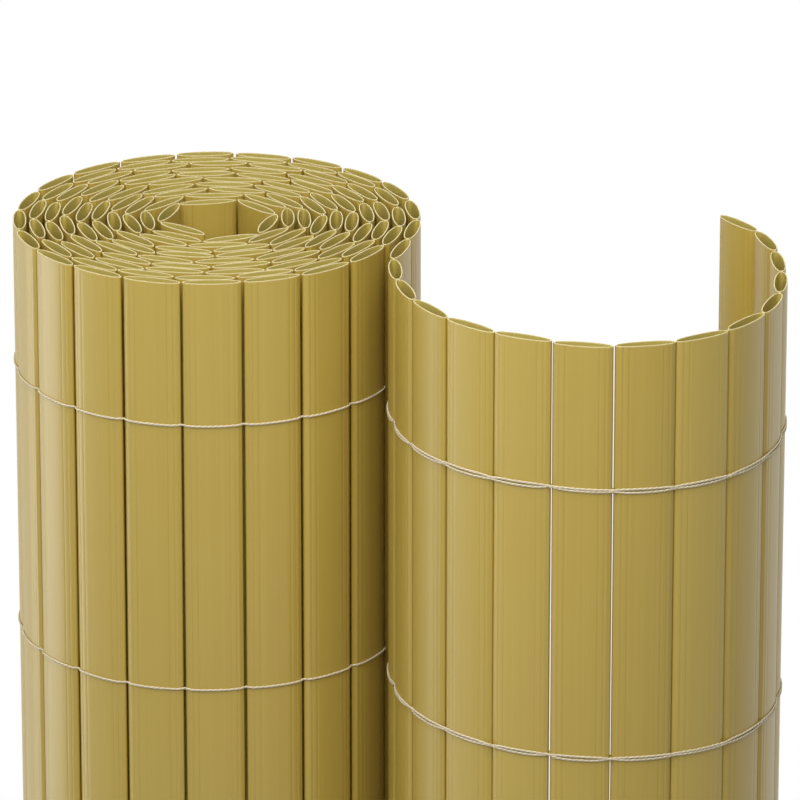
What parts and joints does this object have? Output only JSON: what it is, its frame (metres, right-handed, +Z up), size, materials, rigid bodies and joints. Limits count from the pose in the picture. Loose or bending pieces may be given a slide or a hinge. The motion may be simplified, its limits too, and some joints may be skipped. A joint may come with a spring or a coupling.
{
  "type": "pvc screening mat",
  "caption": "Part-rolled privacy screening mat of hollow flat-oval plastic slats tied side by side with rows of twine, standing on end with its free end let out in a bend.",
  "frame": {"origin": "on the floor, in the middle of the mat's footprint", "axes": "+Z up along the slats; the free end leaves the roll towards -Y and opens on +X"},
  "size_m": [0.2556, 0.1924, 1],
  "materials": {
    "slat_pvc": "satin, with fine lines along the extrusion",
    "twine": "twisted"
  },
  "bodies": {
    "root": {"turn_01_slats": "slat_pvc", "turn_02_slats": "slat_pvc", "turn_03_slats": "slat_pvc", "turn_04_slats": "slat_pvc", "turn_05_slats": "slat_pvc", "turn_06_slats": "slat_pvc", "turn_07_slats": "slat_pvc", "turn_08_slats": "slat_pvc", "turn_09_slats": "slat_pvc", "outer_slat_01": "slat_pvc", "outer_slat_02": "slat_pvc", "outer_slat_03": "slat_pvc", "outer_slat_04": "slat_pvc", "outer_slat_05": "slat_pvc", "outer_slat_06": "slat_pvc", "outer_slat_07": "slat_pvc", "outer_slat_08": "slat_pvc", "outer_slat_09": "slat_pvc", "outer_slat_10": "slat_pvc", "outer_slat_11": "slat_pvc", "outer_slat_12": "slat_pvc", "outer_slat_13": "slat_pvc", "outer_slat_14": "slat_pvc", "outer_slat_15": "slat_pvc", "outer_slat_16": "slat_pvc", "outer_slat_17": "slat_pvc", "outer_slat_18": "slat_pvc", "outer_slat_19": "slat_pvc", "outer_slat_20": "slat_pvc", "free_slat_01": "slat_pvc", "free_slat_02": "slat_pvc", "free_slat_03": "slat_pvc", "free_slat_04": "slat_pvc", "free_slat_05": "slat_pvc", "free_slat_06": "slat_pvc", "free_slat_07": "slat_pvc", "free_slat_08": "slat_pvc", "free_slat_09": "slat_pvc", "free_slat_10": "slat_pvc", "free_slat_11": "slat_pvc", "free_slat_12": "slat_pvc", "free_slat_13": "slat_pvc", "free_slat_14": "slat_pvc", "free_slat_15": "slat_pvc", "twine_row_01": "twine", "twine_row_02": "twine", "twine_row_03": "twine", "twine_row_04": "twine", "twine_row_05": "twine", "twine_row_06": "twine", "twine_row_07": "twine", "twine_row_08": "twine", "twine_row_09": "twine", "twine_row_10": "twine", "twine_row_11": "twine"}
  },
  "joints": []
}
